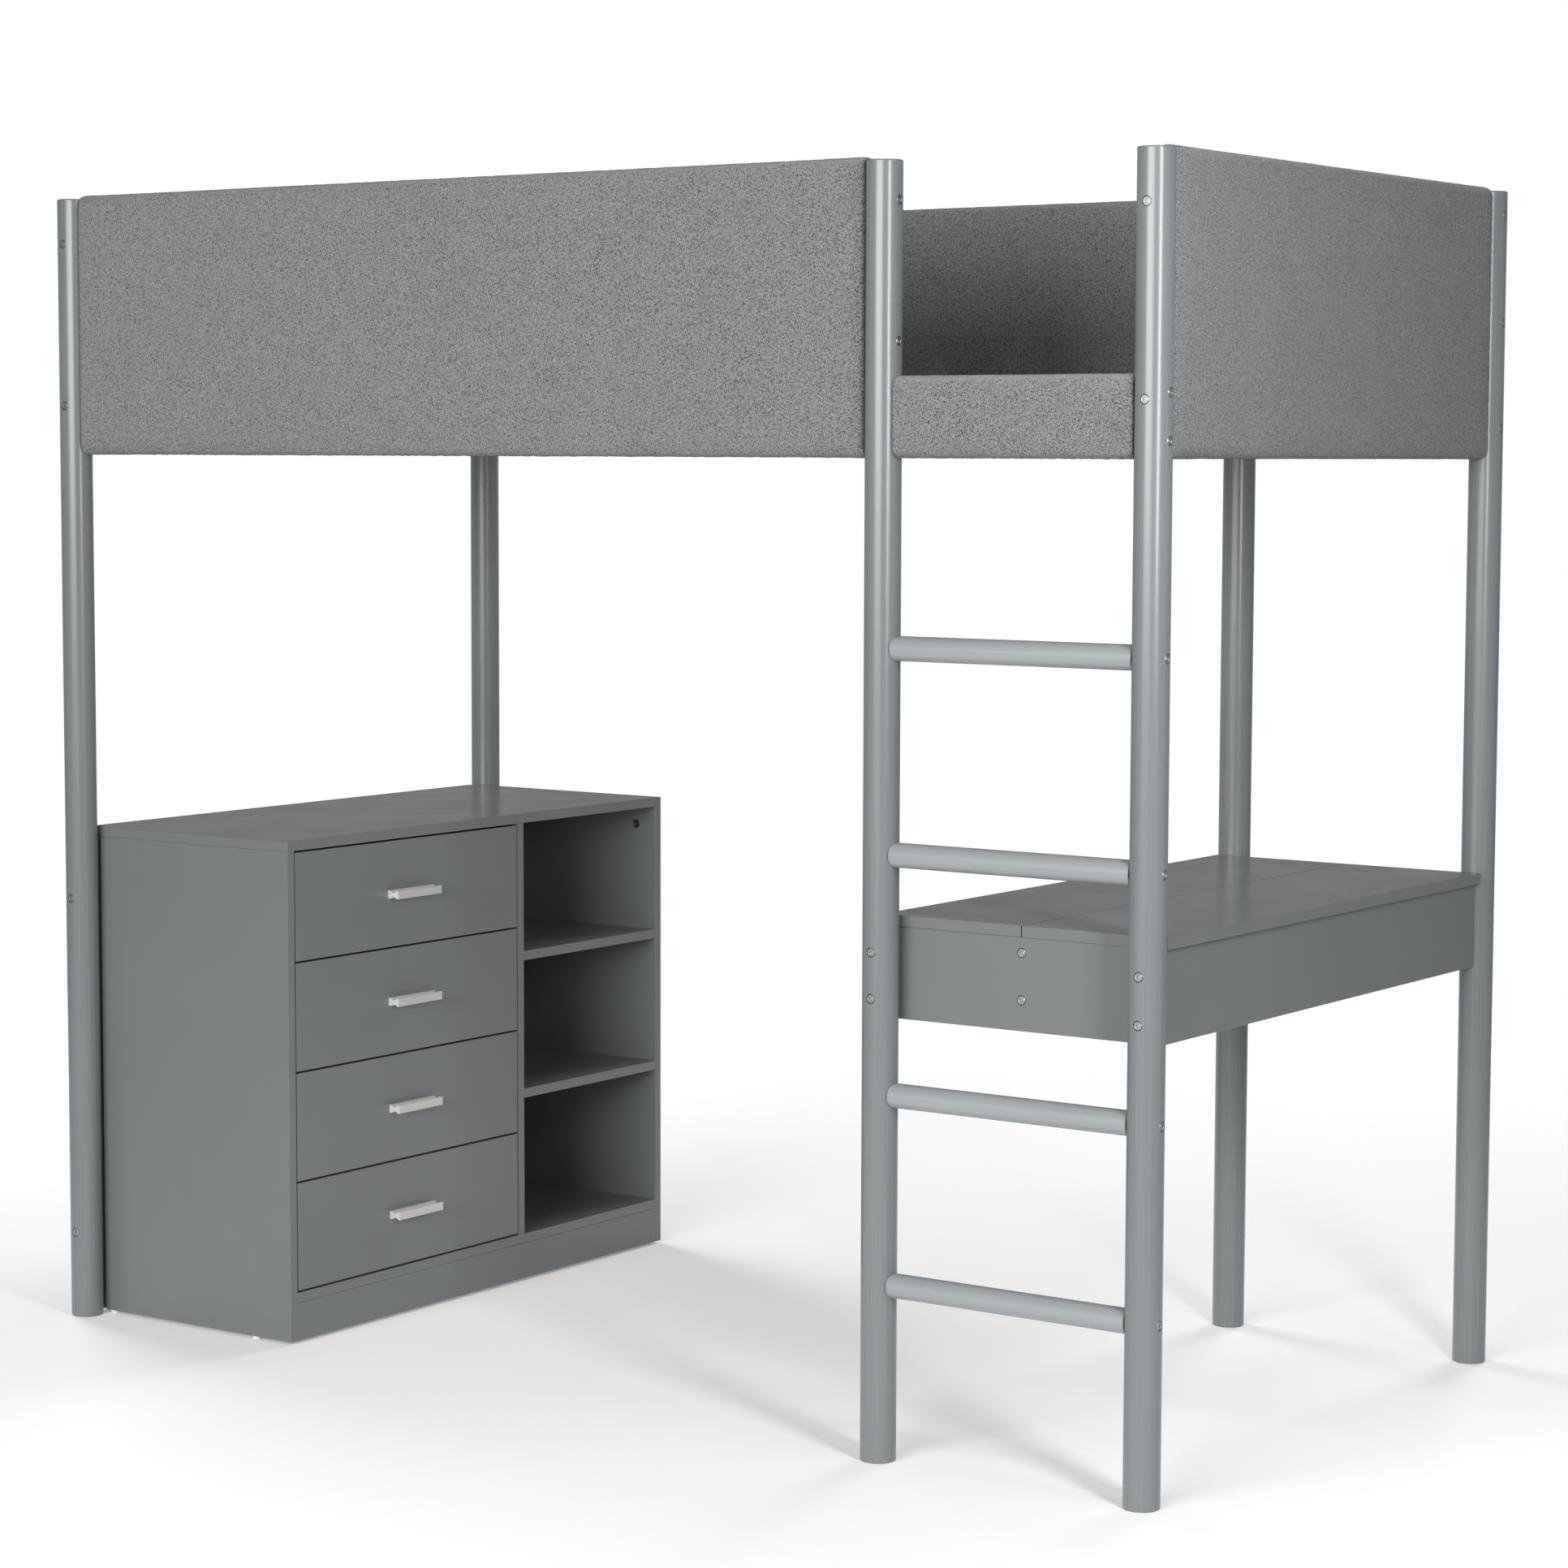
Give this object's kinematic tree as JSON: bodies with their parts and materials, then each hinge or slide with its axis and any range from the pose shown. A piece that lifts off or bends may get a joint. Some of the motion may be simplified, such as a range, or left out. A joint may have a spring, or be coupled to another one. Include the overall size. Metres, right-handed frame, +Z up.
{
  "type": "loft bed with desk",
  "caption": "Loft bed on round posts with fleece-covered guard panels, a ladder, a desk under one end and a chest of drawers with open shelves under the other.",
  "frame": {"origin": "on the floor, under the middle of the bed's overall box", "axes": "+X along the bed from the chest of drawers to the desk, +Y from the ladder side to the wall side, +Z up"},
  "size_m": [2.0208, 1.0738, 1.804],
  "materials": {
    "post_paint": "smooth satin grey paint on round posts and rungs",
    "board_paint": "smooth satin grey lacquer on board",
    "fleece": "mid-grey curly fleece over foam",
    "core_wood": "raw plywood, hidden in the padding",
    "pine": "planed pine, unpainted",
    "box_board": "grey melamine board",
    "hardboard": "thin grey hardboard",
    "bolt_steel": "zinc-plated steel",
    "runner_steel": "galvanised sheet steel",
    "handle_metal": "satin extruded aluminium",
    "glide_plastic": "translucent pale plastic"
  },
  "bodies": {
    "frame": {"post_front_left": "post_paint", "post_front_mid": "post_paint", "post_front_right": "post_paint", "post_rear_left": "post_paint", "post_rear_mid": "post_paint", "post_rear_right": "post_paint", "ladder_rung_1": "post_paint", "ladder_rung_2": "post_paint", "ladder_rung_3": "post_paint", "ladder_rung_4": "post_paint", "pad_front_long": "fleece", "core_front_long": "core_wood", "pad_front_low": "fleece", "core_front_low": "core_wood", "pad_left_end": "fleece", "core_left_end": "core_wood", "pad_right_end": "fleece", "core_right_end": "core_wood", "pad_rear_long": "fleece", "core_rear_long": "core_wood", "pad_rear_short": "fleece", "core_rear_short": "core_wood", "desk_board_left": "board_paint", "desk_board_right": "board_paint", "desk_apron_left": "board_paint", "desk_apron_right": "board_paint", "desk_apron_front": "board_paint", "desk_apron_rear": "board_paint", "desk_rib": "board_paint", "chest_top": "board_paint", "chest_side_front": "board_paint", "chest_side_rear": "board_paint", "chest_divider": "board_paint", "chest_floor": "board_paint", "chest_plinth": "board_paint", "chest_shelf_lower": "board_paint", "chest_shelf_upper": "board_paint", "end_board": "board_paint", "chest_back": "hardboard", "chest_glides": "glide_plastic", "chest_channels": "runner_steel", "bed_ledgers": "pine", "bed_slats": "pine", "frame_bolts": "bolt_steel"},
    "drawer_1": {"drawer_1_face": "board_paint", "drawer_1_box": "box_board", "drawer_1_handle": "handle_metal", "drawer_1_sliders": "runner_steel"},
    "drawer_2": {"drawer_2_face": "board_paint", "drawer_2_box": "box_board", "drawer_2_handle": "handle_metal", "drawer_2_sliders": "runner_steel"},
    "drawer_3": {"drawer_3_face": "board_paint", "drawer_3_box": "box_board", "drawer_3_handle": "handle_metal", "drawer_3_sliders": "runner_steel"},
    "drawer_4": {"drawer_4_face": "board_paint", "drawer_4_box": "box_board", "drawer_4_handle": "handle_metal", "drawer_4_sliders": "runner_steel"}
  },
  "joints": [
    {"name": "drawer_1_slide", "type": "slide", "parent": "frame", "child": "drawer_1", "axis": [1, 0, 0], "range_m": [0, 0.26]},
    {"name": "drawer_2_slide", "type": "slide", "parent": "frame", "child": "drawer_2", "axis": [1, 0, 0], "range_m": [0, 0.26]},
    {"name": "drawer_3_slide", "type": "slide", "parent": "frame", "child": "drawer_3", "axis": [1, 0, 0], "range_m": [0, 0.26]},
    {"name": "drawer_4_slide", "type": "slide", "parent": "frame", "child": "drawer_4", "axis": [1, 0, 0], "range_m": [0, 0.26]}
  ]
}
